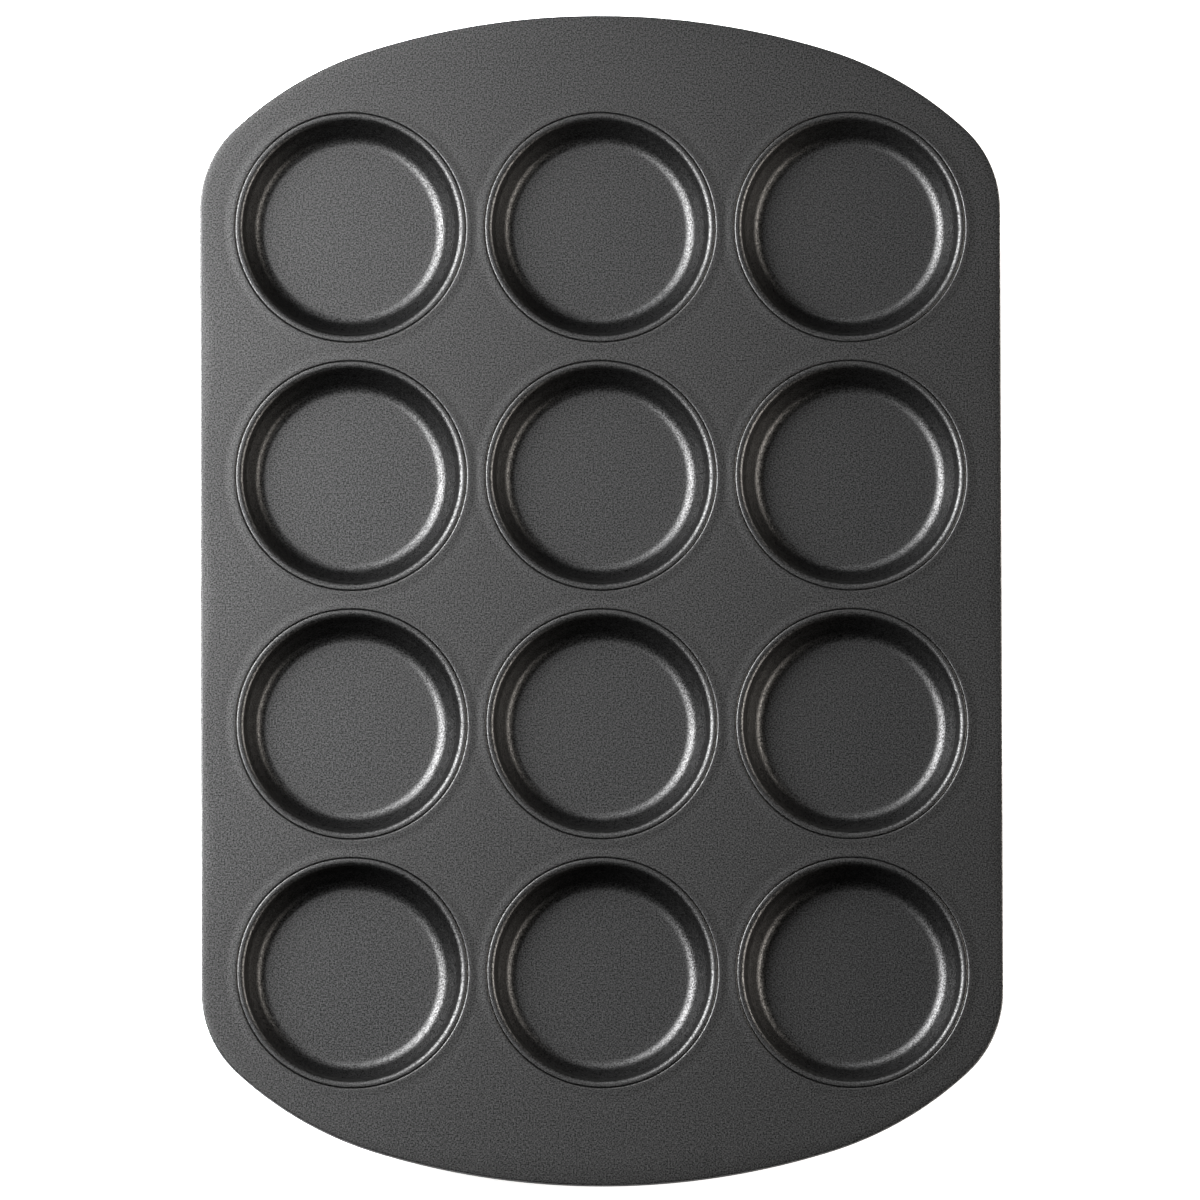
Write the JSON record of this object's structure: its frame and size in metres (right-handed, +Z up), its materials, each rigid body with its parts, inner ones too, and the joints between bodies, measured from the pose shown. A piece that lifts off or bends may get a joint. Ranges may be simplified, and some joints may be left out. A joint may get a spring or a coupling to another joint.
{
  "type": "muffin tin",
  "caption": "Shallow muffin tin: a flat deck sheet with bowed ends and a turned-down rim, carrying round drawn cups that are locked into its flanged holes by a rolled seam.",
  "frame": {"origin": "on the plane that the cup floors rest on, below the middle of the deck", "axes": "+X across the tin, +Y along it towards row 1, +Z up out of the cup mouths"},
  "size_m": [0.28, 0.411, 0.0132],
  "materials": {
    "nonstick_coating": "satin, finely speckled"
  },
  "bodies": {
    "root": {"deck_sheet": "nonstick_coating", "cup_row_1_left": "nonstick_coating", "cup_row_1_middle": "nonstick_coating", "cup_row_1_right": "nonstick_coating", "cup_row_2_left": "nonstick_coating", "cup_row_2_middle": "nonstick_coating", "cup_row_2_right": "nonstick_coating", "cup_row_3_left": "nonstick_coating", "cup_row_3_middle": "nonstick_coating", "cup_row_3_right": "nonstick_coating", "cup_row_4_left": "nonstick_coating", "cup_row_4_middle": "nonstick_coating", "cup_row_4_right": "nonstick_coating"}
  },
  "joints": []
}
